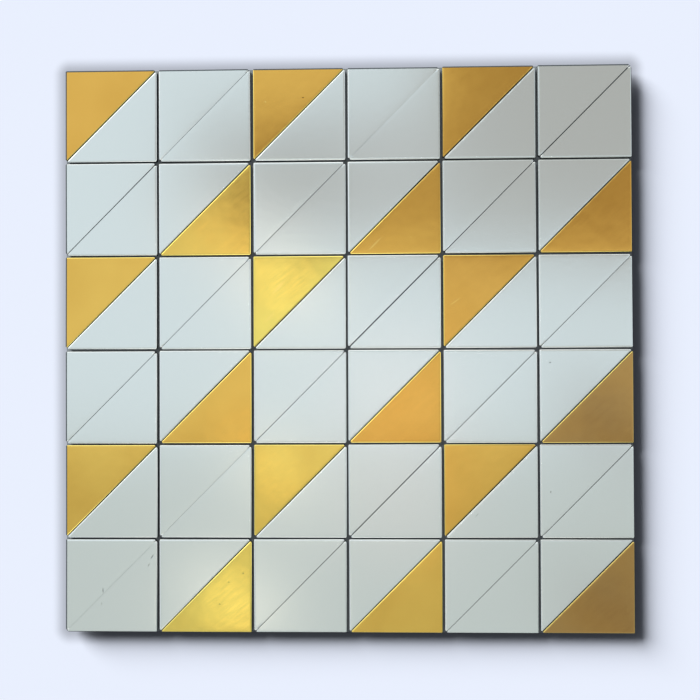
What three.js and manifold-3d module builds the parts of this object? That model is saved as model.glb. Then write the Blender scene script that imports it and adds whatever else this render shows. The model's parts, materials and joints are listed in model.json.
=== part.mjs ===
// A peel-and-stick mosaic tile for a wall: rows of square cells on one black foam sheet.
// Each cell is two triangular chips of metal-faced panel, laid with their long sides together.
// Every other cell pairs a gold chip with a white one, and the cells between hold two white chips.
// The tile stands upright, as on its wall: X runs along the wall, Z is up, the front faces -Y,
// and the origin is the centre of the adhesive back.
import * as THREE from 'three';
import { mergeVertices } from 'three/addons/utils/BufferGeometryUtils.js';
import Module from 'manifold-3d';

const wasm = await Module();
wasm.setup();

// The pattern
const columns = 6;
const rows = 6;

// Sizes in millimetres
const cellWidth = 48.9;
const cellHeight = 48.9;
const columnJoint = 1.2; // open joint between two columns of cells
const rowJoint = 0.9; // open joint between two rows of cells
const slitWidth = 0.3; // between the two chips of a cell
const chipThickness = 3;
const arris = 0.5; // eased front edge of a chip, as deep as it is wide
const faceCornerRadius = 0.15; // on the flat front face: the outline is rounder than that by the arris
const backingThickness = 1;
const backingMargin = 0.3; // backing that shows beyond the outer chips

// The foot that joins the two white chips of a plain cell where they touch, low in their slit
const footHeight = 0.6;
const footBite = 0.4; // how far it reaches into each chip
const footSetback = 3; // from the cell's corner to the end of the foot

// The cells are laid by hand, so none is quite in its place
const layingShift = 0.14; // at most, along each side
const layingTurn = THREE.MathUtils.degToRad(0.1); // at most, either way
const slitPlay = 0.07; // at most, that one chip sits nearer to the slit or further off
const layingSeed = 11;

// Steps of a round corner's curve and of the eased edge
const cornerSteps = 2;
const arrisSteps = 2;

const diagonal = Math.hypot(cellWidth, cellHeight);
const slitAngle = Math.atan2(cellHeight, cellWidth);

function anywhereWithin(limit) {
  return limit * (2 * THREE.MathUtils.seededRandom() - 1);
}

// Corners of the lower right chip, counter-clockwise, drawn in from its own edges by an inset.
// The cell's centre is at 0, 0, and the slit runs from its lower left corner to its upper right.
function chipCorners(inset) {
  const bottom = inset - cellHeight / 2;
  const right = cellWidth / 2 - inset;
  const offSlit = (slitWidth / 2 + inset) * diagonal;
  return [
    new THREE.Vector2((bottom * cellWidth + offSlit) / cellHeight, bottom),
    new THREE.Vector2(right, bottom),
    new THREE.Vector2(right, (right * cellHeight - offSlit) / cellWidth),
  ];
}

// An outline with an arc of one radius at each corner
function roundedShape(corners, radius) {
  const shape = new THREE.Shape();
  corners.forEach((corner, index) => {
    const before = corners.at(index - 1).clone().sub(corner).normalize();
    const after = corners[(index + 1) % corners.length].clone().sub(corner).normalize();
    const halfAngle = Math.acos(before.dot(after)) / 2;
    const inward = before.clone().add(after).normalize();
    const centre = corner.clone().addScaledVector(inward, radius / Math.sin(halfAngle));
    const start = Math.atan2(before.x, -before.y);
    const end = Math.atan2(-after.x, after.y);
    shape.absarc(centre.x, centre.y, radius, start, end, false);
  });
  return shape.closePath();
}

function solidFrom(geometry) {
  const bare = geometry.clone();
  bare.deleteAttribute('normal');
  bare.deleteAttribute('uv');
  const merged = mergeVertices(bare);
  return new wasm.Manifold(new wasm.Mesh({
    numProp: 3,
    vertProperties: merged.attributes.position.array,
    triVerts: new Uint32Array(merged.index.array),
  }));
}

function geometryFrom(solid) {
  const mesh = solid.getMesh();
  const geometry = new THREE.BufferGeometry();
  geometry.setAttribute('position', new THREE.BufferAttribute(mesh.vertProperties, 3));
  geometry.setIndex(new THREE.BufferAttribute(mesh.triVerts, 1));
  return geometry;
}

// The lower right chip of a cell, its back at z = 0. The extrusion eases its edges at both ends,
// so the eased edges at the back are cut away.
function chipSolid() {
  const blank = new THREE.ExtrudeGeometry(roundedShape(chipCorners(arris), faceCornerRadius), {
    depth: chipThickness - arris,
    curveSegments: cornerSteps,
    bevelThickness: arris,
    bevelSize: arris,
    bevelSegments: arrisSteps,
  });
  const waste = new THREE.BoxGeometry(2 * cellWidth, 2 * cellHeight, 2 * arris);
  waste.translate(0, 0, -arris);
  return solidFrom(blank).subtract(solidFrom(waste));
}

// Two white chips, the second turned half round, joined by the foot in the slit between them
function pairSolid(chip) {
  const foot = new THREE.BoxGeometry(diagonal - 2 * footSetback, slitWidth + 2 * footBite, footHeight);
  foot.translate(0, 0, footHeight / 2);
  foot.rotateZ(slitAngle);
  return chip.add(chip.rotate([0, 0, 180])).add(solidFrom(foot));
}

function backingGeometry() {
  const width = columns * cellWidth + (columns - 1) * columnJoint + 2 * backingMargin;
  const height = rows * cellHeight + (rows - 1) * rowJoint + 2 * backingMargin;
  const sheet = new THREE.BoxGeometry(width, height, backingThickness);
  return sheet.translate(0, 0, backingThickness / 2);
}

// Gold-lacquered aluminium face
function goldFinish() {
  return new THREE.MeshStandardMaterial({
    color: 0xcda554,
    metalness: 0.9,
    roughness: 0.32,
    flatShading: true,
  });
}

// Silvery white lacquered aluminium face
function whiteFinish() {
  return new THREE.MeshStandardMaterial({
    color: 0xcfd9da,
    metalness: 0.3,
    roughness: 0.4,
    flatShading: true,
  });
}

function foamFinish() {
  return new THREE.MeshStandardMaterial({ color: 0x1d2022, metalness: 0, roughness: 0.95 });
}

const chip = chipSolid();
const chipShape = geometryFrom(chip);
const pairShape = geometryFrom(pairSolid(chip));

// A chip on one side of a cell's slit: upper is the lower right chip turned half round
function looseChip(name, finish, upper) {
  const mesh = new THREE.Mesh(chipShape, finish);
  mesh.name = name;
  mesh.rotation.z = upper ? Math.PI : 0;
  const awayFromSlit = slitAngle + (upper ? Math.PI / 2 : -Math.PI / 2);
  const play = anywhereWithin(slitPlay);
  mesh.position.set(play * Math.cos(awayFromSlit), play * Math.sin(awayFromSlit), 0);
  return mesh;
}

// Rows count from the top and columns from the left. The gold chips run along one diagonal in
// every other cell: in the upper half of the cell in odd rows, in the lower half in even rows.
function cellAt(row, column) {
  const place = `r${row}_c${column}`;
  const cell = new THREE.Group();
  if ((row + column) % 2 === 0) {
    const goldIsUpper = row % 2 === 1;
    cell.add(looseChip(`gold_chip_${place}`, goldFinish(), goldIsUpper));
    cell.add(looseChip(`white_chip_${place}`, whiteFinish(), !goldIsUpper));
  } else {
    const pair = new THREE.Mesh(pairShape, whiteFinish());
    pair.name = `white_chip_pair_${place}`;
    cell.add(pair);
  }
  cell.position.set(
    (column - (columns + 1) / 2) * (cellWidth + columnJoint) + anywhereWithin(layingShift),
    ((rows + 1) / 2 - row) * (cellHeight + rowJoint) + anywhereWithin(layingShift),
    backingThickness,
  );
  cell.rotation.z = anywhereWithin(layingTurn);
  return cell;
}

// The tile lies face up while it is put together, then stands up on the wall
const tile = new THREE.Group();
const backing = new THREE.Mesh(backingGeometry(), foamFinish());
backing.name = 'adhesive_backing';
tile.add(backing);

THREE.MathUtils.seededRandom(layingSeed);
for (let row = 1; row <= rows; row += 1) {
  for (let column = 1; column <= columns; column += 1) {
    tile.add(cellAt(row, column));
  }
}
tile.rotation.x = Math.PI / 2;

export default tile;
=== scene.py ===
"""A peel-and-stick mosaic tile: lacquered aluminium chips on a self-adhesive sheet of grey foam.

Each chip is modelled from the outline of its solid: two aluminium skins, a plastic core, an eased
front edge and the slight bow that a sheared chip has. Sizes are given in millimetres and used in
metres, in the solids' frame: X along the wall, Z up, the front facing -Y and the adhesive back at
Y = 0.
"""
import json
import math
import random

import bmesh
import bpy
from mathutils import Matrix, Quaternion, Vector

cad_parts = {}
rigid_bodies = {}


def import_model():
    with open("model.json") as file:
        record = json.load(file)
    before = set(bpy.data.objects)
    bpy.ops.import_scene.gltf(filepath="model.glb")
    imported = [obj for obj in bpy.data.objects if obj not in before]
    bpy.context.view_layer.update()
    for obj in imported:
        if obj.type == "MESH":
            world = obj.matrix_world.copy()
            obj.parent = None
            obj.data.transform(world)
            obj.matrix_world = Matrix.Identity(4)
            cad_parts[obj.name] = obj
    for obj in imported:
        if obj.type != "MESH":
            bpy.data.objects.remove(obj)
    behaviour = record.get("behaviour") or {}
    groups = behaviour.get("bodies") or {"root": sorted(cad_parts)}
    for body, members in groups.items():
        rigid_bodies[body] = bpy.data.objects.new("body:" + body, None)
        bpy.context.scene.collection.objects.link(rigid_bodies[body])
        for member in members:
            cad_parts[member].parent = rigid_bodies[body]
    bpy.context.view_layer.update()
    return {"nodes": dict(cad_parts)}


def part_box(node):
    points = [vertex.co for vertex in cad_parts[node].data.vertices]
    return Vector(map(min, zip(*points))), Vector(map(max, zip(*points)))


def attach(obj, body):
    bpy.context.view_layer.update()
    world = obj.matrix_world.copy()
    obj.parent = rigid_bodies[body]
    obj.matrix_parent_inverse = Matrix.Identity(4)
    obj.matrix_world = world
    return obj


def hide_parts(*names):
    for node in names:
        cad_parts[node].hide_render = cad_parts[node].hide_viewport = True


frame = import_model()

bl_info = {
    "name": "Mosaic Tile",
    "version": (1, 0, 0),
    "blender": (4, 5, 0),
    "location": "3D View > Sidebar > Mosaic Tile",
    "description": "Models a peel-and-stick mosaic tile of gold and white chips",
    "category": "Object",
}

MM = 0.001
FRONT = Vector((0, -1, 0))
BACKING_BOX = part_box("adhesive_backing")
# Points closer together than this are one
TOUCHING = MM / 1000
# Faces that meet at more than SHARP have a crease between them, and lines that turn by less than
# STRAIGHT are one line
SHARP = math.radians(40)
STRAIGHT = math.radians(1)


def linear(code):
    """An sRGB hex colour as linear red, green and blue."""
    parts = [int(code[i:i + 2], 16) / 255 for i in (1, 3, 5)]
    return tuple(c / 12.92 if c <= 0.04045 else ((c + 0.055) / 1.055) ** 2.4 for c in parts)


def opaque(colour):
    return (*colour, 1.0)


def per_metre(millimetres):
    """The scale of a texture whose features repeat at that size."""
    return 1 / (millimetres * MM)


def length(name, description, millimetres):
    return bpy.props.FloatProperty(
        name=name,
        description=description,
        default=millimetres * MM,
        min=0,
        precision=5,
        subtype="DISTANCE",
        unit="LENGTH",
    )


def colour(name, description, code):
    return bpy.props.FloatVectorProperty(
        name=name,
        description=description,
        default=linear(code),
        min=0,
        max=1,
        subtype="COLOR",
    )


def share(name, description, default):
    return bpy.props.FloatProperty(
        name=name, description=description, default=default, min=0, max=1, subtype="FACTOR"
    )


def power(name, description, default):
    return bpy.props.FloatProperty(name=name, description=description, default=default, min=0)


def angle(name, description, degrees):
    return bpy.props.FloatProperty(
        name=name, description=description, default=math.radians(degrees), subtype="ANGLE"
    )


class TileChipSettings(bpy.types.PropertyGroup):
    """How a chip is cut and laid."""

    shoulder: length("Shoulder", "Depth of the layer that holds the eased edge", 0.6)
    front_skin: length("Front skin", "Lacquered aluminium at the front", 0.2)
    rear_skin: length("Rear skin", "Bare aluminium at the back", 0.2)
    arris: length("Arris", "Width of the eased front edge", 0.5)
    arris_steps: bpy.props.IntProperty(
        name="Arris steps", description="Facets across the eased edge", default=6, min=1
    )
    # A band of the core's dark material along the tile's outer edges draws a dark line round it
    trimmed_edge: length("Trimmed edge", "Width of core bared along the tile's left and top edges", 0.75)
    far_trim: share("Far trim", "Share of that width bared along the right and bottom edges", 0.5)
    rim: length("Rim", "Strip along the edges that shearing bends back", 1.4)
    rim_drop: length("Rim drop", "How far shearing bends the rim back", 0.012)
    bow: length("Bow", "How far a chip's tips fall behind its middle", 0.1)
    lean: angle("Lean", "Most that a chip leans out of the sheet", 0.22)
    mesh_step: length("Mesh step", "Spacing of the mesh across a chip's front", 5)
    batch_spread: share("Batch spread", "Most that a chip's tone differs from the rest", 0.1)


class TileBackingSettings(bpy.types.PropertyGroup):
    """How the foam sheet is cut."""

    edge_softness: length("Edge softness", "Radius of the foam's cut edges", 0.15)
    edge_wander: length("Edge wander", "Unevenness of the foam's cut edges", 0.06)
    mesh_step: length("Mesh step", "Spacing of the mesh along the foam's edges", 6)


class TileFinishSettings(bpy.types.PropertyGroup):
    """Colours of the tile's materials."""

    gold: colour("Gold", "Gold lacquer over aluminium", "#eeb557")
    # Painted light: the palest gold, given to listed chips in place of the glow that they mirror
    gold_light: colour("Light gold", "The palest of the gold chips", "#fbe276")
    # Painted highlight: the paler gold of the eased edges
    gold_edge: colour("Gold edge", "Thin lacquer over the eased edges of the gold chips", "#fff08a")
    gold_pool: colour("Gold pool", "Gold lacquer where it lies thick", "#c98f33")
    # Rubbed lacquer, and painted highlights in the same pale gold
    gold_rub: colour("Gold rub", "Gold lacquer that is rubbed thin", "#ffe08c")
    # Painted shade: a darker gold for the eased edges in the upper and lower right, which dims their
    # highlights
    gold_dull: colour("Dulled gold", "Eased edges of the gold chips, dulled by handling", "#94713c")
    gold_dent: colour("Gold dent", "Dents in the gold chips", "#5f430c")
    # Painted shade: the brownest gold, given to listed chips in place of the dark that they mirror
    bronze: colour("Bronze", "The brownest of the gold chips", "#ba935b")
    white: colour("White", "Silvery white lacquer over aluminium", "#dfe4e4")
    # Painted shade: a darker white for the eased edges in the upper and lower right, which dims their
    # highlights
    white_dull: colour("Dulled white", "Eased edges of the white chips, dulled by handling", "#a3a8a6")
    white_nick: colour("White nick", "Nicks in the white chips", "#4a5453")
    core: colour("Core", "Plastic core of the panel", "#3e4447")
    core_score: colour("Core score", "Saw marks in the plastic core", "#4a5053")
    aluminium: colour("Aluminium", "Bare rear skin of the panel", "#c4c7c9")
    foam: colour("Foam", "Foam backing", "#666b6e")
    foam_wall: colour("Foam wall", "Walls of the foam's cells", "#7c8386")
    adhesive: colour("Adhesive", "Adhesive on the back of the foam", "#1a1b1d")
    net: colour("Net", "Threads of the net that carries the adhesive", "#2b2d30")


class TileStudioSettings(bpy.types.PropertyGroup):
    """The stage, the light and the camera."""

    lens: bpy.props.FloatProperty(
        name="Lens", description="Focal length of the camera", default=50, min=1, subtype="DISTANCE_CAMERA"
    )
    camera_distance: length("Camera distance", "From the tile's front to the camera", 512.1)
    camera_turn: angle("Camera turn", "How far the camera stands to the right of the tile", 1.64)
    camera_lift: angle("Camera lift", "How far the camera stands above the tile's middle", -0.73)
    camera_roll: angle("Camera roll", "How far the camera leans to its left", -0.24)
    wall_gap: length("Wall gap", "From the adhesive back to the backdrop", 5)
    # A painted shadow on the backdrop round the tile, besides the shadow that the key light casts
    dusk_width: length("Dusk width", "How far round the tile the backdrop is dusky", 10.3)
    dusk: share("Dusk", "Brightness of the backdrop against the tile's edge", 0.56)
    key_light: power("Key light", "Strength of the light from above on the left", 5.97)
    front_light: power("Front light", "Strength of the light beside the camera", 0.8)
    rear_light: power("Rear light", "Strength of the light on the tile's back", 2.4)
    side_light: power("Side light", "Brightness of the surroundings beside the camera", 1.15)
    ambient: power("Ambient", "Brightness that matt surfaces get from all round", 0.1)
    stage_reach: length("Stage reach", "How far the backdrop and the floor run each way", 4000)
    floor_drop: length("Floor drop", "From the tile's lowest edge to the floor", 650)
    backdrop: colour("Backdrop", "Pale backdrop and surroundings", "#e9effd")
    floor: colour("Floor", "Pale floor", "#bfc4ce")


def add_node(tree, kind, settings=None, inputs=None, output=None):
    """Adds a node, sets its properties, and sets or links its inputs. It gives the output of that name,
    or else the first that the node has in use."""
    node = tree.nodes.new(kind)
    for name, value in (settings or {}).items():
        setattr(node, name, value)
    for key, value in (inputs or {}).items():
        if isinstance(value, bpy.types.NodeSocket):
            tree.links.new(value, node.inputs[key])
        else:
            node.inputs[key].default_value = value
    if output:
        return node.outputs[output]
    return next((socket for socket in node.outputs if socket.enabled), None)


def new_material(name):
    """A material with an empty node tree, and its object coordinates."""
    material = bpy.data.materials.new(name)
    material.use_nodes = True
    tree = material.node_tree
    tree.nodes.clear()
    return material, tree, add_node(tree, "ShaderNodeTexCoord", output="Object")


def finish_surface(tree, inputs):
    """Puts a Principled shader with these inputs on the material."""
    shader = add_node(tree, "ShaderNodeBsdfPrincipled", inputs=inputs)
    add_node(tree, "ShaderNodeOutputMaterial", inputs={"Surface": shader})


# Settings that many nodes share
RGBA = {"data_type": "RGBA"}
SMOOTH = {"interpolation_type": "SMOOTHSTEP"}
TEXTURE = {"vector_type": "TEXTURE"}


def marks(tree, place, spots):
    """A mask of single marks: each is (x, z, long, wide, lean in degrees, strength), in millimetres."""
    mask = 0.0
    for x, z, long, wide, lean, strength in spots:
        local = add_node(
            tree,
            "ShaderNodeMapping",
            TEXTURE,
            {
                "Vector": place,
                "Location": (x * MM, 0, z * MM),
                "Rotation": (0, -math.radians(lean), 0),
                "Scale": (long / 2 * MM, 1, wide / 2 * MM),
            },
        )
        reach = add_node(tree, "ShaderNodeVectorMath", {"operation": "LENGTH"}, {0: local})
        spot = add_node(
            tree,
            "ShaderNodeMapRange",
            SMOOTH,
            {"Value": reach, "From Min": 0.3, "From Max": 1.0, "To Min": strength, "To Max": 0.0},
        )
        mask = add_node(tree, "ShaderNodeMath", {"operation": "MAXIMUM"}, {0: mask, 1: spot})
    return mask


# Painted light and shade on listed gold chips, in place of the glows and the dark that they mirror: 1 is the
# palest, -1 the brownest
GOLD_PAINTED_TONES = {
    "gold_chip_r3_c3": 0.95,
    "gold_chip_r6_c2": 0.9,
    "gold_chip_r5_c3": 0.65,
    "gold_chip_r2_c2": 0.5,
    "gold_chip_r4_c2": 0.2,
    "gold_chip_r3_c1": 0.25,
    "gold_chip_r5_c5": 0.2,
    "gold_chip_r2_c4": 0.1,
    "gold_chip_r5_c1": 0.34,
    "gold_chip_r6_c4": 0.38,
    "gold_chip_r4_c6": -1.0,
    "gold_chip_r6_c6": -1.0,
}
# Brightness of the darkest white chip against the palest
DARKEST_WHITE = 0.94
# Wear that the tile shows, with some painted highlights among the rubs, in millimetres from its middle: x,
# z, length, width, lean in degrees, strength
GOLD_DENTS = (
    (-22.8, 133.2, 1.3, 1.2, 0, 1.0),
    (-62.9, -122.5, 1.0, 0.8, 0, 0.35),
    (-55.3, -117.8, 1.2, 1.0, 30, 0.4),
    (-67.7, -134.1, 0.9, 1.1, 0, 0.35),
)
# Rubs and scratches in the gold, and painted highlights: two pale streaks and a spot where the gold mirrors
# a glow
GOLD_RUBS_AND_GLINTS = (
    (-42.8, 131.3, 1.4, 1.2, 0, 1.0),
    (14.8, 55.4, 13.0, 1.2, 45, 0.7),
    (56.8, 24.8, 8.5, 0.9, 36, 0.55),
    (33.6, 58.9, 1.6, 0.9, 0, 0.35),
    (-36.0, 33.0, 14.0, 2.2, 48, 0.5),
    (-41.0, 17.0, 10.0, 1.8, 44, 0.4),
)
WHITE_NICKS = (
    (-129.7, -127.0, 3.4, 0.6, 94, 0.9),
    (-130.4, -134.0, 2.2, 0.5, 90, 0.4),
    (-103.6, -109.2, 3.6, 0.8, 60, 0.6),
    (-105.4, -113.6, 2.8, 0.9, 70, 0.35),
    (106.3, -7.4, 0.9, 1.0, 0, 0.9),
    (106.2, -75.1, 0.9, 0.9, 0, 0.8),
    (67.7, -87.2, 3.0, 0.5, 50, 0.5),
)
# The same for the places where the eased edges are painted darker, a painted shade that dims their
# highlights
EDGE_SHADE = (
    (95.0, 105.0, 210.0, 170.0, 0, 1.0),
    (110.0, -90.0, 200.0, 200.0, 0, 0.5),
)
# How wide the slit of each white pair stands open at the front, in millimetres
SLITS = {
    "white_chip_pair_r1_c2": 0.19,
    "white_chip_pair_r1_c4": 0.05,
    "white_chip_pair_r1_c6": 0.54,
    "white_chip_pair_r2_c1": 0.44,
    "white_chip_pair_r2_c3": 0.28,
    "white_chip_pair_r2_c5": 0.41,
    "white_chip_pair_r3_c2": 0.27,
    "white_chip_pair_r3_c4": 0.6,
    "white_chip_pair_r3_c6": 0.28,
    "white_chip_pair_r4_c1": 0.27,
    "white_chip_pair_r4_c3": 0.29,
    "white_chip_pair_r4_c5": 0.3,
    "white_chip_pair_r5_c2": 0.1,
    "white_chip_pair_r5_c4": 0.48,
    "white_chip_pair_r5_c6": 0.34,
    "white_chip_pair_r6_c1": 0.06,
    "white_chip_pair_r6_c3": 0.31,
    "white_chip_pair_r6_c5": 0.27,
}


def eased_edges(tree, place):
    """Two masks: the eased edges of the chips, and those of them painted darker, as painted shade."""
    worn = add_node(tree, "ShaderNodeAttribute", {"attribute_name": "worn"}, output="Fac")
    darkened = marks(tree, place, EDGE_SHADE)
    darkened = add_node(tree, "ShaderNodeMath", {"operation": "MULTIPLY"}, {0: darkened, 1: worn})
    return worn, darkened


def gold_lacquered_aluminium(finish):
    """Coil-coated aluminium under a clear gold lacquer: a satin metal with soft, clouded reflections."""
    material, tree, place = new_material("gold_lacquered_aluminium")
    # Listed chips are painted paler or browner, in place of the light and shade that they mirror; the rest
    # differ a little at random
    tone = add_node(tree, "ShaderNodeAttribute", {"attribute_name": "tone"}, output="Fac")
    gold = add_node(
        tree, "ShaderNodeMix", RGBA, {0: tone, 6: opaque(finish.gold), 7: opaque(finish.gold_light)}
    )
    painted_shade_share = add_node(tree, "ShaderNodeMapRange", None, {"Value": tone, "From Max": -1})
    gold = add_node(tree, "ShaderNodeMix", RGBA, {0: painted_shade_share, 6: gold, 7: opaque(finish.bronze)})
    # The lacquer pools in clouds of a few centimetres
    cloud = add_node(tree, "ShaderNodeTexNoise", None, {"Vector": place, "Scale": per_metre(28)})
    cloud = add_node(
        tree,
        "ShaderNodeMapRange",
        None,
        {"Value": cloud, "From Min": 0.35, "From Max": 0.65, "To Max": 0.16},
    )
    gold = add_node(tree, "ShaderNodeMix", RGBA, {0: cloud, 6: gold, 7: opaque(finish.gold_pool)})
    # Painted highlight: the eased edges are painted a paler gold, so that they shine pale yellow
    worn, darkened = eased_edges(tree, place)
    shine = add_node(tree, "ShaderNodeMapRange", None, {"Value": worn, "To Max": 0.75})
    gold = add_node(tree, "ShaderNodeMix", RGBA, {0: shine, 6: gold, 7: opaque(finish.gold_edge)})
    # Painted shade: in places the eased edges are painted darker, which dims their highlights
    gold = add_node(tree, "ShaderNodeMix", RGBA, {0: darkened, 6: gold, 7: opaque(finish.gold_dull)})
    # Pale rubs and scratches, and painted highlights in the same colour
    rubs_and_glints = marks(tree, place, GOLD_RUBS_AND_GLINTS)
    rubs_and_glints = add_node(tree, "ShaderNodeMapRange", None, {"Value": rubs_and_glints, "To Max": 0.55})
    gold = add_node(tree, "ShaderNodeMix", RGBA, {0: rubs_and_glints, 6: gold, 7: opaque(finish.gold_rub)})
    dents = marks(tree, place, GOLD_DENTS)
    gold = add_node(tree, "ShaderNodeMix", RGBA, {0: dents, 6: gold, 7: opaque(finish.gold_dent)})
    # Rolling leaves faint streaks, about a millimetre by eight
    along = add_node(
        tree,
        "ShaderNodeMapping",
        TEXTURE,
        {"Vector": place, "Rotation": (0, math.radians(-38), 0), "Scale": (7, 1, 1)},
    )
    streaks = add_node(
        tree, "ShaderNodeTexNoise", None, {"Vector": along, "Scale": per_metre(1.1), "Detail": 1.0}
    )
    satin = add_node(
        tree,
        "ShaderNodeMapRange",
        None,
        {"Value": streaks, "From Min": 0.3, "From Max": 0.7, "To Min": 0.14, "To Max": 0.17},
    )
    # The thin skin ripples every centimetre or so
    ripple = add_node(
        tree, "ShaderNodeTexNoise", None, {"Vector": place, "Scale": per_metre(9), "Detail": 1.0}
    )
    relief = add_node(tree, "ShaderNodeBump", None, {"Height": ripple, "Distance": 0.05 * MM})
    relief = add_node(
        tree, "ShaderNodeBump", None, {"Height": streaks, "Distance": 0.0025 * MM, "Normal": relief}
    )
    sunk = add_node(tree, "ShaderNodeMath", {"operation": "SUBTRACT"}, {0: 1.0, 1: dents})
    relief = add_node(
        tree, "ShaderNodeBump", None, {"Height": sunk, "Distance": 0.1 * MM, "Normal": relief}
    )
    finish_surface(
        tree, {"Base Color": gold, "Metallic": 1.0, "Roughness": satin, "Normal": relief}
    )
    return material


def white_lacquered_aluminium(finish):
    """Coil-coated aluminium under silvery white lacquer: metal flake gives it a soft, pearly sheen."""
    material, tree, place = new_material("white_lacquered_aluminium")
    tone = add_node(tree, "ShaderNodeAttribute", {"attribute_name": "tone"}, output="Fac")
    tone = add_node(tree, "ShaderNodeMapRange", None, {"Value": tone, "From Min": -1})
    shaded = tuple(c * DARKEST_WHITE for c in finish.white)
    white = add_node(
        tree, "ShaderNodeMix", RGBA, {0: tone, 6: opaque(shaded), 7: opaque(finish.white)}
    )
    nicks = marks(tree, place, WHITE_NICKS)
    white = add_node(tree, "ShaderNodeMix", RGBA, {0: nicks, 6: white, 7: opaque(finish.white_nick)})
    _, darkened = eased_edges(tree, place)
    # Painted shade: in places the eased edges are painted darker, which dims their highlights
    white = add_node(tree, "ShaderNodeMix", RGBA, {0: darkened, 6: white, 7: opaque(finish.white_dull)})
    # Orange peel of the lacquer, a few millimetres across and hardly deep
    peel = add_node(
        tree, "ShaderNodeTexNoise", None, {"Vector": place, "Scale": per_metre(4), "Detail": 1.0}
    )
    relief = add_node(tree, "ShaderNodeBump", None, {"Height": peel, "Distance": 0.01 * MM})
    sunk = add_node(tree, "ShaderNodeMath", {"operation": "SUBTRACT"}, {0: 1.0, 1: nicks})
    relief = add_node(
        tree, "ShaderNodeBump", None, {"Height": sunk, "Distance": 0.06 * MM, "Normal": relief}
    )
    finish_surface(
        tree, {"Base Color": white, "Metallic": 0.85, "Roughness": 0.17, "Normal": relief}
    )
    return material


def grey_plastic_core(finish):
    """Filled polyethylene, sawn: matt and scored across its thickness."""
    material, tree, place = new_material("grey_plastic_core")
    # Saw marks a third of a millimetre apart, drawn out through the panel's thickness
    across = add_node(tree, "ShaderNodeMapping", TEXTURE, {"Vector": place, "Scale": (1, 12, 1)})
    scores = add_node(
        tree, "ShaderNodeTexNoise", None, {"Vector": across, "Scale": per_metre(0.35), "Detail": 1.0}
    )
    paint = add_node(
        tree, "ShaderNodeMix", RGBA, {0: scores, 6: opaque(finish.core), 7: opaque(finish.core_score)}
    )
    relief = add_node(tree, "ShaderNodeBump", None, {"Height": scores, "Distance": 0.03 * MM})
    finish_surface(
        tree,
        {"Base Color": paint, "Roughness": 0.8, "Specular IOR Level": 0.1, "Normal": relief},
    )
    return material


def mill_finish_aluminium(finish):
    """Bare rolled aluminium, as it leaves the mill: dull silver with fine rolling lines."""
    material, tree, place = new_material("mill_finish_aluminium")
    # Rolling lines a quarter of a millimetre apart and a centimetre long
    along = add_node(tree, "ShaderNodeMapping", TEXTURE, {"Vector": place, "Scale": (40, 1, 1)})
    lines = add_node(
        tree, "ShaderNodeTexNoise", None, {"Vector": along, "Scale": per_metre(0.25), "Detail": 1.0}
    )
    dull = add_node(
        tree,
        "ShaderNodeMapRange",
        None,
        {"Value": lines, "From Min": 0.3, "From Max": 0.7, "To Min": 0.3, "To Max": 0.45},
    )
    relief = add_node(tree, "ShaderNodeBump", None, {"Height": lines, "Distance": 0.004 * MM})
    finish_surface(
        tree,
        {
            "Base Color": opaque(finish.aluminium),
            "Metallic": 1.0,
            "Roughness": dull,
            "Normal": relief,
        },
    )
    return material


def grey_foam(finish):
    """Closed-cell polyethylene foam, die-cut: a matt grey skin full of fine cells."""
    material, tree, place = new_material("grey_foam")
    # The foam's cells are about 0.3 mm, drawn at 0.5 mm so that they show
    cells = add_node(tree, "ShaderNodeTexVoronoi", None, {"Vector": place, "Scale": per_metre(0.5)})
    paint = add_node(
        tree, "ShaderNodeMix", RGBA, {0: cells, 6: opaque(finish.foam), 7: opaque(finish.foam_wall)}
    )
    relief = add_node(tree, "ShaderNodeBump", None, {"Height": cells, "Distance": 0.12 * MM})
    finish_surface(tree, {"Base Color": paint, "Roughness": 0.85, "Normal": relief})
    return material


def tacky_adhesive(finish):
    """Acrylic adhesive on a thin net, bared by its liner: glossy black with a soft woven relief."""
    material, tree, place = new_material("tacky_adhesive")
    # The carrier net has a thread every 3 mm, both ways
    weave = 0.0
    for turn in (45, -45):
        turned = add_node(
            tree, "ShaderNodeMapping", TEXTURE, {"Vector": place, "Rotation": (0, math.radians(turn), 0)}
        )
        threads = add_node(
            tree,
            "ShaderNodeTexWave",
            {"bands_direction": "X", "wave_profile": "SIN"},
            {"Vector": turned, "Scale": per_metre(3) * math.pi / 10},
            output="Fac",
        )
        threads = add_node(tree, "ShaderNodeMapRange", SMOOTH, {"Value": threads, "From Min": 0.75})
        weave = add_node(tree, "ShaderNodeMath", {"operation": "MAXIMUM"}, {0: weave, 1: threads})
    paint = add_node(
        tree, "ShaderNodeMix", RGBA, {0: weave, 6: opaque(finish.adhesive), 7: opaque(finish.net)}
    )
    # The sheet lies slack, in waves of a centimetre or two
    slack = add_node(tree, "ShaderNodeTexNoise", None, {"Vector": place, "Scale": per_metre(14)})
    gloss = add_node(
        tree,
        "ShaderNodeMapRange",
        None,
        {"Value": slack, "From Min": 0.3, "From Max": 0.7, "To Min": 0.22, "To Max": 0.4},
    )
    relief = add_node(tree, "ShaderNodeBump", None, {"Height": slack, "Distance": 0.25 * MM})
    relief = add_node(
        tree, "ShaderNodeBump", None, {"Height": weave, "Distance": 0.03 * MM, "Normal": relief}
    )
    finish_surface(tree, {"Base Color": paint, "Roughness": gloss, "Normal": relief})
    return material


def material_of(maker):
    """The material that a function makes and names after itself, made when it is first asked for."""
    return bpy.data.materials.get(maker.__name__) or maker(bpy.context.scene.tile_finish)


def cut(bm, point, direction, geom=None, **options):
    """Cuts a mesh, or some of its elements, by the plane through a point across a direction."""
    bmesh.ops.bisect_plane(
        bm,
        geom=bm.verts[:] + bm.edges[:] + bm.faces[:] if geom is None else geom,
        dist=TOUCHING,
        plane_co=point,
        plane_no=direction,
        **options,
    )


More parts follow.
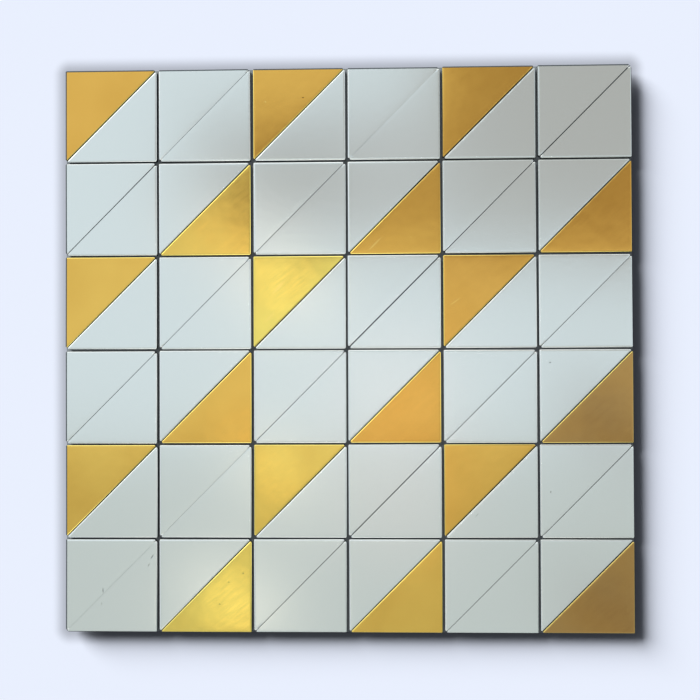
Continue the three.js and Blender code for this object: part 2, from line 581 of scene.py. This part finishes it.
def grid_planes(low, high, spacing):
    """Evenly spaced planes across a box, upright and level: a point on each, and its direction."""
    for axis, direction in ((0, Vector((1, 0, 0))), (2, Vector((0, 0, 1)))):
        steps = round((high[axis] - low[axis]) / spacing)
        for step in range(1, steps):
            yield direction * (low[axis] + (high[axis] - low[axis]) * step / steps), direction


def ease(bm, edges, width, steps):
    """Rounds edges off in that many facets."""
    bmesh.ops.bevel(
        bm,
        geom=edges,
        offset=width,
        offset_type="OFFSET",
        affect="EDGES",
        segments=steps,
        profile=0.5,
        material=-1,
    )


def mesh_from(bm, name):
    """A mesh of that name from a bmesh, which is then done with."""
    mesh = bpy.data.meshes.new(name)
    bm.to_mesh(mesh)
    bm.free()
    return mesh


def chip_outlines(node):
    """The outlines of the chips in a CAD node, each as a list of points, cut above the foot."""
    low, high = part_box(node)
    bm = bmesh.new()
    bm.from_mesh(frame["nodes"][node].data)
    bmesh.ops.remove_doubles(bm, verts=bm.verts, dist=TOUCHING)
    cut(bm, (low + high) / 2, FRONT, clear_inner=True, clear_outer=True)
    flat = [v for v in bm.verts if len(v.link_edges) == 2 and abs(edge_turn(v)) < STRAIGHT]
    bmesh.ops.dissolve_verts(bm, verts=flat)
    filled = bmesh.ops.edgeloop_fill(bm, edges=bm.edges[:])
    outlines = [[v.co.copy() for v in face.verts] for face in filled["faces"]]
    bm.free()
    return outlines


def edge_turn(vert):
    """How much an outline turns at a point."""
    first, second = (e.other_vert(vert).co - vert.co for e in vert.link_edges)
    return math.pi - first.angle(second)


def middle(points):
    return sum(points, Vector()) / len(points)


def straight_sides(outline):
    """The three straight sides of a chip: a point on each, and the direction inwards from it."""
    ends = zip(outline, outline[1:] + outline[:1])
    longest = sorted(ends, key=lambda pair: (pair[1] - pair[0]).length)[-3:]
    centre = middle(outline)
    sides = []
    for start, end in longest:
        inward = (end - start).normalized().cross(FRONT)
        if inward.dot(centre - start) < 0:
            inward.negate()
        sides.append((start, inward))
    return sides


def outer_sides(sides):
    """Those of a chip's sides that lie within a millimetre of the tile's edge, and along it."""
    outer = []
    for start, inward in sides:
        diagonal = max(abs(inward.x), abs(inward.z)) < 0.99
        edge = min(corner.dot(inward) for corner in BACKING_BOX)
        if not diagonal and start.dot(inward) - edge < MM:
            outer.append((start, inward))
    return outer


def trimmed_width(inward, chips):
    """How far in from an outer side the band of core material runs: less along the right and the bottom."""
    return chips.trimmed_edge * (1 if inward.x - inward.z > 0 else chips.far_trim)


def front_faces(bm, front):
    """The faces that lie flat at the chip's front."""
    return [
        face
        for face in bm.faces
        if face.normal.dot(FRONT) > 0.9999 and abs(face.calc_center_median().y - front) < MM / 100
    ]


def cut_front(bm, front, point, direction):
    """Cuts the chip's front face along a line, so that it can bend there."""
    faces = front_faces(bm, front)
    edges = {e for f in faces for e in f.edges}
    verts = {v for f in faces for v in f.verts}
    cut(bm, point, direction, [*verts, *edges, *faces])


def chip_mesh(name, outline, back, front, chips, lean, slit):
    """A chip: its outline raised in three layers, its front edge eased, and its front slightly bowed.

    The long side of a chip from a pair is cut with a knife, which leaves its edge sharp."""
    thickness = back - front
    bm = bmesh.new()
    cap = bm.faces.new([bm.verts.new((p.x, back, p.z)) for p in outline])
    for layer in (chips.rear_skin, thickness - chips.rear_skin - chips.shoulder, chips.shoulder):
        raised = bmesh.ops.extrude_face_region(bm, geom=[cap])["geom"]
        cap = next(g for g in raised if isinstance(g, bmesh.types.BMFace))
        verts = [g for g in raised if isinstance(g, bmesh.types.BMVert)]
        bmesh.ops.translate(bm, verts=verts, vec=FRONT * layer)
    bmesh.ops.recalc_face_normals(bm, faces=bm.faces[:])
    edges = sorted(cap.edges, key=lambda e: e.calc_length())
    ease(bm, edges[:-1] if slit else edges, chips.arris, chips.arris_steps)
    sides = straight_sides(outline)
    for start, inward in sides:
        for reach in (chips.arris + chips.rim / 3, chips.arris + chips.rim):
            cut_front(bm, front, start + inward * reach, inward)
    dark_bands = [(start + inward * trimmed_width(inward, chips), inward) for start, inward in outer_sides(sides)]
    for start, inward in dark_bands:
        cut(bm, start, inward)
    lows = [min(p[axis] for p in outline) for axis in range(3)]
    highs = [max(p[axis] for p in outline) for axis in range(3)]
    for point, direction in grid_planes(lows, highs, chips.mesh_step):
        cut_front(bm, front, point, direction)
    set_layers(bm, back, thickness, dark_bands, chips)
    eased = sides[:-1] if slit else sides
    bend_front(bm, back, thickness, outline, sides, eased, chips, lean)
    return mesh_from(bm, name)


def set_layers(bm, back, thickness, dark_bands, chips):
    """Gives the faces their material: 0 is lacquered aluminium, 1 is the core and 2 is bare aluminium."""
    for face in bm.faces:
        centre = face.calc_center_median()
        depth = back - centre.y
        # A band along the tile's outer edges gets the core's dark material, which draws a dark line round
        # the tile
        in_dark_band = any((centre - start).dot(inward) < 0 for start, inward in dark_bands)
        if depth < chips.rear_skin:
            face.material_index = 2
        elif in_dark_band or depth < thickness - chips.front_skin:
            face.material_index = 1
        else:
            face.material_index = 0
        face.smooth = face.material_index == 0
    for edge in bm.edges:
        edge.smooth = edge.calc_face_angle(0) < SHARP


def bend_front(bm, back, thickness, outline, sides, eased, chips, lean):
    """Bows and leans a chip, more towards its front, drops its rim, and marks its eased edges, where
    highlight and shade are painted.
    """
    worn = bm.verts.layers.float.new("worn")
    centre = middle(outline)
    reach = max((p - centre).length for p in outline)
    for vert in bm.verts:
        height = (back - vert.co.y) / thickness
        off = Vector((vert.co.x - centre.x, vert.co.z - centre.z))
        drop = chips.bow * (off.length / reach) ** 2 + off.dot(lean)
        inside = min((vert.co - start).dot(inward) for start, inward in sides) - chips.arris
        if inside < chips.rim:
            drop += chips.rim_drop * (1 - max(inside, 0) / chips.rim) ** 2
        edge = min((vert.co - start).dot(inward) for start, inward in eased)
        vert[worn] = float(edge < chips.arris - MM / 50)
        vert.co.y += drop * height


def add_piece(name, mesh, materials, node):
    """Puts a finished mesh in the scene in place of its CAD node."""
    piece = bpy.data.objects.new(name, mesh)
    bpy.context.scene.collection.objects.link(piece)
    for material in materials:
        mesh.materials.append(material)
    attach(piece, "root")
    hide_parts(node)
    return piece


def set_tone(mesh, tone):
    """One shade for the whole chip, from -1 to 1: at random, as the batches of panel differ, and on listed
    gold chips painted light and shade.
    """
    attribute = mesh.attributes.new("tone", "FLOAT", "POINT")
    attribute.data.foreach_set("value", [tone] * len(mesh.vertices))


def add_chip(name, node, outline, lacquer, dice, tone=None, slit=False):
    """One chip, in its place in the tile."""
    chips = bpy.context.scene.tile_chips
    low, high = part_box(node)
    lean = Vector((dice.uniform(-1, 1), dice.uniform(-1, 1))) * math.tan(chips.lean)
    odd_tone = dice.uniform(-1, 1) * chips.batch_spread
    mesh = chip_mesh(name, outline, high.y, low.y, chips, lean, slit)
    set_tone(mesh, odd_tone if tone is None else tone)
    materials = (
        lacquer,
        material_of(grey_plastic_core),
        material_of(mill_finish_aluminium),
    )
    return add_piece(name, mesh, materials, node)


def nodes_named(start):
    return sorted(name for name in frame["nodes"] if name.startswith(start))


class TILE_OT_gold_chips(bpy.types.Operator):
    """Models the gold chips"""

    bl_idname = "tile.gold_chips"
    bl_label = "Gold chips"

    def execute(self, context):
        dice = random.Random(5)
        lacquer = material_of(gold_lacquered_aluminium)
        for node in nodes_named("gold_chip_"):
            (outline,) = chip_outlines(node)
            name = node.replace("gold_chip", "gold_lacquered_chip")
            add_chip(name, node, outline, lacquer, dice, GOLD_PAINTED_TONES.get(node))
        return {"FINISHED"}


class TILE_OT_white_chips(bpy.types.Operator):
    """Models the white chips, those beside gold ones and those in pairs"""

    bl_idname = "tile.white_chips"
    bl_label = "White chips"

    def execute(self, context):
        dice = random.Random(8)
        lacquer = material_of(white_lacquered_aluminium)
        for node in nodes_named("white_chip_r"):
            (outline,) = chip_outlines(node)
            name = node.replace("white_chip", "white_lacquered_chip")
            add_chip(name, node, outline, lacquer, dice)
        for node in nodes_named("white_chip_pair_"):
            upper, lower = sorted(chip_outlines(node), key=lambda outline: middle(outline).x)
            (upper_side, _), (lower_side, off_slit) = (straight_sides(o)[-1] for o in (upper, lower))
            slit = (lower_side - upper_side).dot(off_slit)
            close = (slit - SLITS[node] * MM) / 2
            for half, outline, move in (("upper", upper, close), ("lower", lower, -close)):
                moved = [p + off_slit * move for p in outline]
                name = f"{node.replace('white_chip_pair', 'white_lacquered_chip')}_{half}"
                add_chip(name, node, moved, lacquer, dice, slit=True)
        return {"FINISHED"}


class TILE_OT_foam_backing(bpy.types.Operator):
    """Models the foam sheet with its adhesive back"""

    bl_idname = "tile.foam_backing"
    bl_label = "Foam backing"

    def execute(self, context):
        backing = context.scene.tile_backing
        dice = random.Random(3)
        low, high = BACKING_BOX
        bm = bmesh.new()
        bm.from_mesh(frame["nodes"]["adhesive_backing"].data)
        bmesh.ops.remove_doubles(bm, verts=bm.verts, dist=TOUCHING)
        bmesh.ops.dissolve_limit(bm, angle_limit=STRAIGHT, verts=bm.verts[:], edges=bm.edges[:])
        ease(bm, bm.edges[:], backing.edge_softness, 3)
        for point, direction in grid_planes(low, high, backing.mesh_step):
            cut(bm, point, direction)
        self.wander(bm, low, high, backing.edge_wander, dice)
        for face in bm.faces:
            is_back = face.normal.dot(FRONT) < -0.9
            face.material_index = 1 if is_back else 0
            face.smooth = True
        mesh = mesh_from(bm, "foam_backing")
        materials = (material_of(grey_foam), material_of(tacky_adhesive))
        add_piece("foam_backing", mesh, materials, "adhesive_backing")
        return {"FINISHED"}

    def wander(self, bm, low, high, most, dice):
        """Moves the cut edges in and out by a little, as a blade leaves soft foam."""
        shifts = {}
        for vert in bm.verts:
            for axis, along in ((0, 2), (2, 0)):
                edge = min(vert.co[axis] - low[axis], high[axis] - vert.co[axis])
                if edge > MM:
                    continue
                key = (axis, vert.co[axis] > 0, round(vert.co[along] / MM))
                shift = shifts.setdefault(key, dice.uniform(0, most))
                vert.co[axis] -= math.copysign(shift, vert.co[axis])


def studio_plane(name, corners, material):
    """A flat piece of the stage through four corners, facing the side that they run round anticlockwise."""
    bm = bmesh.new()
    bm.faces.new([bm.verts.new(corner) for corner in corners])
    mesh = mesh_from(bm, name)
    mesh.materials.append(material)
    plane = bpy.data.objects.new(name, mesh)
    bpy.context.scene.collection.objects.link(plane)
    return plane


def matt_paint(name, paint):
    """Matt emulsion with a fine grain, for the floor."""
    material, tree, place = new_material(name)
    grain = add_node(tree, "ShaderNodeTexNoise", None, {"Vector": place, "Scale": per_metre(2)})
    relief = add_node(tree, "ShaderNodeBump", None, {"Height": grain, "Distance": 0.02 * MM})
    finish_surface(tree, {"Base Color": opaque(paint), "Roughness": 0.9, "Normal": relief})
    return material


def backdrop_paint(name, settings):
    """A matt backdrop with a painted shadow, darker close round the tile, and seen from its front alone, so
    it hides no view.
    """
    material, tree, place = new_material(name)
    low, high = BACKING_BOX
    past = add_node(tree, "ShaderNodeVectorMath", {"operation": "ABSOLUTE"}, {0: place})
    past = add_node(
        tree, "ShaderNodeVectorMath", {"operation": "SUBTRACT"}, {0: past, 1: (high.x, 1, high.z)}
    )
    past = add_node(tree, "ShaderNodeVectorMath", {"operation": "MAXIMUM"}, {0: past, 1: (0, 0, 0)})
    past = add_node(tree, "ShaderNodeVectorMath", {"operation": "LENGTH"}, {0: past})
    # Painted shadow: the backdrop is painted darker close round the tile
    dusk = add_node(
        tree,
        "ShaderNodeMapRange",
        SMOOTH,
        {
            "Value": past,
            "From Min": settings.dusk_width / 6,
            "From Max": settings.dusk_width,
            "To Min": settings.dusk,
            "To Max": 1.0,
        },
    )
    black = (0, 0, 0, 1)
    paint = add_node(tree, "ShaderNodeMix", RGBA, {0: dusk, 6: black, 7: opaque(settings.backdrop)})
    paper = add_node(tree, "ShaderNodeBsdfDiffuse", None, {"Color": paint})
    clear = add_node(tree, "ShaderNodeBsdfTransparent")
    seen = add_node(tree, "ShaderNodeLightPath", output="Is Camera Ray")
    behind = add_node(tree, "ShaderNodeNewGeometry", output="Backfacing")
    ahead = add_node(
        tree, "ShaderNodeMath", {"operation": "SUBTRACT", "use_clamp": True}, {0: seen, 1: behind}
    )
    surface = add_node(tree, "ShaderNodeMixShader", None, {0: ahead, 1: clear, 2: paper})
    add_node(tree, "ShaderNodeOutputMaterial", None, {"Surface": surface})
    return material


def soft_sun(name, towards, strength, spread):
    """An even light with soft shadows, from a disc of sky that many degrees across."""
    lamp = bpy.data.lights.new(name, "SUN")
    lamp.energy = strength
    lamp.angle = math.radians(spread)
    sun = bpy.data.objects.new(name, lamp)
    sun.rotation_euler = Vector(towards).to_track_quat("-Z", "Y").to_euler()
    sun.visible_glossy = False
    bpy.context.scene.collection.objects.link(sun)
    return sun


# The way each light shines, and how many degrees wide it is, which softens its shadows
LIGHTS = {
    "key_light": ((1.38, 1, -1.2), 36),
    "front_light": ((0, 1, 0), 14),
    "rear_light": ((-0.3, -1, -0.5), 70),
}
# Where the camera looks, in millimetres to the right of the tile's middle and above it
AIM = (1.5, -0.4)
# The room round the tile
PALE_ROOM = "#f4f8ff"
# The room behind the camera, and then the lights and one dim patch round it, which the eased edges
# mirror, and which the flat fronts don't as seen from the camera: the way to each, its colour and
# brightness, and the angles at which it starts to fade and has gone
GLOWS = (
    ((0, -1, 0), "#e1edf1", 1.08, 25, 65),
    ((-1, -0.55, 1), "#fffcf2", 2.5, 10, 34),
    ((1, -0.4, -1), "#c3cccf", 0.4, 25, 50),
    ((0.1, -0.5, 1), "#fffdf6", 2.3, 8, 26),
    ((0, -0.5, -1), "#fffdf6", 2.3, 8, 26),
    ((1, -0.5, 0), "#fffdf6", 1.6, 6, 20),
)
# The dark of the wall past the tile's plane, and then the pale room straight behind it: its brightness,
# and how far ahead it begins and is full, from 1 in front of the tile to -1 behind it
BEHIND = (
    (0.05, 0.05, -0.1),
    (0.9, -0.35, -0.9),
)
# Soft shapes that the flat fronts mirror, each in millimetres where the camera sees it on the tile:
# x, z, half its width and height, softness of its edges, lean in degrees, colour, brightness, cover
MIRRORED = (
    (170, 190, 122, 138, 22, 0, "#aca9a1", 1.00, 0.95),
    (18, 92, 30, 32, 22, 0, "#b8b5b0", 1.00, 0.90),
    (-42, 90, 40, 27, 30, 0, "#918b81", 1.00, 0.95),
    (0, -250, 420, 197, 22, 0, "#ccd4cf", 1.00, 1.00),
    (27, -22, 28, 24, 14, 0, "#ffffff", 1.05, 0.90),
    (27, -78, 28, 30, 14, 0, "#e8e3dc", 1.00, 0.90),
    (-38, 38, 26, 12, 10, 45, "#fff8e4", 1.58, 1.00),
    (-59, -140, 26, 12, 10, 45, "#fff8e4", 1.70, 1.00),
    (-38, -61, 26, 12, 10, 45, "#fff8e4", 1.30, 1.00),
    (-61, 59, 24, 10, 10, 45, "#fff8ee", 1.32, 1.00),
    (140, -40, 28, 12, 8, 45, "#9a8f88", 1.00, 0.90),
    (140, -139, 28, 12, 8, 45, "#9a8f88", 1.00, 0.90),
    (140, 60, 26, 10, 8, 45, "#9a8f88", 1.00, 0.60),
)


def surroundings(settings, eye):
    """The studio's surroundings: an even pale ground to look at, and soft shapes to mirror."""
    world = bpy.data.worlds.new("studio")
    bpy.context.scene.world = world
    world.use_nodes = True
    # Matt surfaces would otherwise be lit by the shapes that only gloss should mirror
    world.cycles.sampling_method = "NONE"
    tree = world.node_tree
    tree.nodes.clear()
    ray = add_node(tree, "ShaderNodeTexCoord", output="Generated")
    ahead = add_node(tree, "ShaderNodeVectorMath", {"operation": "DOT_PRODUCT"}, {0: ray, 1: FRONT})

    def glowing(code, brightness):
        return opaque(tuple(c * brightness for c in linear(code)))

    # Beside the camera the room is brighter, which lights up the chips' eased edges
    shade = glowing(PALE_ROOM, settings.side_light)
    zones = [
        *(
            (towards, code, brightness, math.cos(math.radians(gone)), math.cos(math.radians(fade)))
            for towards, code, brightness, fade, gone in GLOWS
        ),
        *((FRONT, PALE_ROOM, *zone) for zone in BEHIND),
    ]
    for towards, code, brightness, begin, full in zones:
        near = add_node(
            tree,
            "ShaderNodeVectorMath",
            {"operation": "DOT_PRODUCT"},
            {0: ray, 1: Vector(towards).normalized()},
        )
        near = add_node(
            tree, "ShaderNodeMapRange", SMOOTH, {"Value": near, "From Min": begin, "From Max": full}
        )
        shade = add_node(tree, "ShaderNodeMix", RGBA, {0: near, 6: shade, 7: glowing(code, brightness)})
    # Where a ray meets a plane one metre in front of the tile
    reach = add_node(tree, "ShaderNodeMath", {"operation": "MAXIMUM"}, {0: ahead, 1: 0.1})
    flat = add_node(tree, "ShaderNodeVectorMath", {"operation": "DIVIDE"}, {0: ray, 1: reach})
    depth = BACKING_BOX[0].y - eye.y
    for x, z, wide, high, soft, lean, code, brightness, cover in MIRRORED:
        # A ray from the camera meets the tile at this place before it runs on to the shape
        place = ((x * MM - eye.x) / depth, 0, (z * MM - eye.z) / depth)
        local = add_node(
            tree,
            "ShaderNodeMapping",
            TEXTURE,
            {
                "Vector": flat,
                "Location": place,
                "Rotation": (0, math.radians(lean), 0),
                "Scale": (MM / depth, 1, MM / depth),
            },
        )
        away = add_node(tree, "ShaderNodeVectorMath", {"operation": "ABSOLUTE"}, {0: local})
        sides = add_node(tree, "ShaderNodeSeparateXYZ", None, {0: away}).node.outputs
        amount = cover
        for side, half in (("X", wide), ("Z", high)):
            amount = add_node(
                tree,
                "ShaderNodeMapRange",
                SMOOTH,
                {
                    "Value": sides[side],
                    "From Min": half - soft / 2,
                    "From Max": half + soft / 2,
                    "To Min": amount,
                    "To Max": 0.0,
                },
            )
        shade = add_node(tree, "ShaderNodeMix", RGBA, {0: amount, 6: shade, 7: glowing(code, brightness)})
    path = add_node(tree, "ShaderNodeLightPath").node.outputs
    for rays, look in (
        ("Is Diffuse Ray", glowing(PALE_ROOM, settings.ambient)),
        ("Is Camera Ray", opaque(settings.backdrop)),
    ):
        shade = add_node(tree, "ShaderNodeMix", RGBA, {0: path[rays], 6: shade, 7: look})
    background = add_node(tree, "ShaderNodeBackground", None, {"Color": shade})
    add_node(tree, "ShaderNodeOutputWorld", None, {"Surface": background})


class TILE_OT_studio(bpy.types.Operator):
    """Sets up the backdrop, the floor, the light and the camera"""

    bl_idname = "tile.studio"
    bl_label = "Studio"

    def execute(self, context):
        settings = context.scene.tile_studio
        context.scene.view_settings.view_transform = "Standard"
        wall = BACKING_BOX[1].y + settings.wall_gap
        ground = BACKING_BOX[0].z - settings.floor_drop
        reach = settings.stage_reach
        left_foot = (-reach, wall, ground)
        right_foot = (reach, wall, ground)
        backdrop = studio_plane(
            "backdrop",
            (left_foot, right_foot, (reach, wall, reach), (-reach, wall, reach)),
            backdrop_paint("backdrop_paint", settings),
        )
        floor = studio_plane(
            "floor",
            ((-reach, -reach, ground), (reach, -reach, ground), right_foot, left_foot),
            matt_paint("floor_paint", settings.floor),
        )
        floor.visible_glossy = False
        floor.visible_diffuse = False
        suns = {
            name: soft_sun(name, way, getattr(settings, name), wide)
            for name, (way, wide) in LIGHTS.items()
        }
        # The light beside the camera reaches into the joints, and is flagged off the backdrop
        lit = bpy.data.collections.new("lit_from_the_front")
        suns["front_light"].light_linking.receiver_collection = lit
        for piece in context.scene.collection.objects:
            if piece.type == "MESH" and piece not in (backdrop, floor):
                lit.objects.link(piece)
        eye = self.add_camera(context, settings)
        surroundings(settings, eye)
        return {"FINISHED"}

    def add_camera(self, context, settings):
        """A camera nearly straight in front of the tile."""
        low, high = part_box("gold_chip_r1_c1")
        aim = Vector((AIM[0] * MM, BACKING_BOX[0].y - (high.y - low.y), AIM[1] * MM))
        turn, lift = settings.camera_turn, settings.camera_lift
        back = Vector((math.sin(turn) * math.cos(lift), -math.cos(turn) * math.cos(lift), math.sin(lift)))
        lens = bpy.data.cameras.new("camera")
        lens.lens = settings.lens
        lens.clip_start = 10 * MM
        camera = bpy.data.objects.new("camera", lens)
        camera.location = aim + back * settings.camera_distance
        level = (-back).to_track_quat("-Z", "Y")
        camera.rotation_mode = "QUATERNION"
        camera.rotation_quaternion = level @ Quaternion((0, 0, 1), settings.camera_roll)
        context.scene.collection.objects.link(camera)
        context.scene.camera = camera
        return camera.location.copy()


class TILE_PT_mosaic(bpy.types.Panel):
    """The tile's pieces and their settings"""

    bl_idname = "TILE_PT_mosaic"
    bl_label = "Mosaic Tile"
    bl_space_type = "VIEW_3D"
    bl_region_type = "UI"
    bl_category = "Mosaic Tile"

    def draw(self, context):
        for operator in OPERATORS:
            self.layout.operator(operator.bl_idname)
        for name in SETTINGS:
            group = getattr(context.scene, name)
            box = self.layout.box()
            for key in group.bl_rna.properties.keys():
                if key not in ("rna_type", "name"):
                    box.prop(group, key)


SETTINGS = {
    "tile_chips": TileChipSettings,
    "tile_backing": TileBackingSettings,
    "tile_finish": TileFinishSettings,
    "tile_studio": TileStudioSettings,
}
OPERATORS = (TILE_OT_gold_chips, TILE_OT_white_chips, TILE_OT_foam_backing, TILE_OT_studio)


def register():
    for name, group in SETTINGS.items():
        bpy.utils.register_class(group)
        setattr(bpy.types.Scene, name, bpy.props.PointerProperty(type=group))
    for operator in OPERATORS:
        bpy.utils.register_class(operator)
    bpy.utils.register_class(TILE_PT_mosaic)


def unregister():
    bpy.utils.unregister_class(TILE_PT_mosaic)
    for operator in reversed(OPERATORS):
        bpy.utils.unregister_class(operator)
    for name, group in SETTINGS.items():
        delattr(bpy.types.Scene, name)
        bpy.utils.unregister_class(group)


def main():
    register()
    bpy.ops.tile.gold_chips()
    bpy.ops.tile.white_chips()
    bpy.ops.tile.foam_backing()
    bpy.ops.tile.studio()


if __name__ == "__main__":
    main()
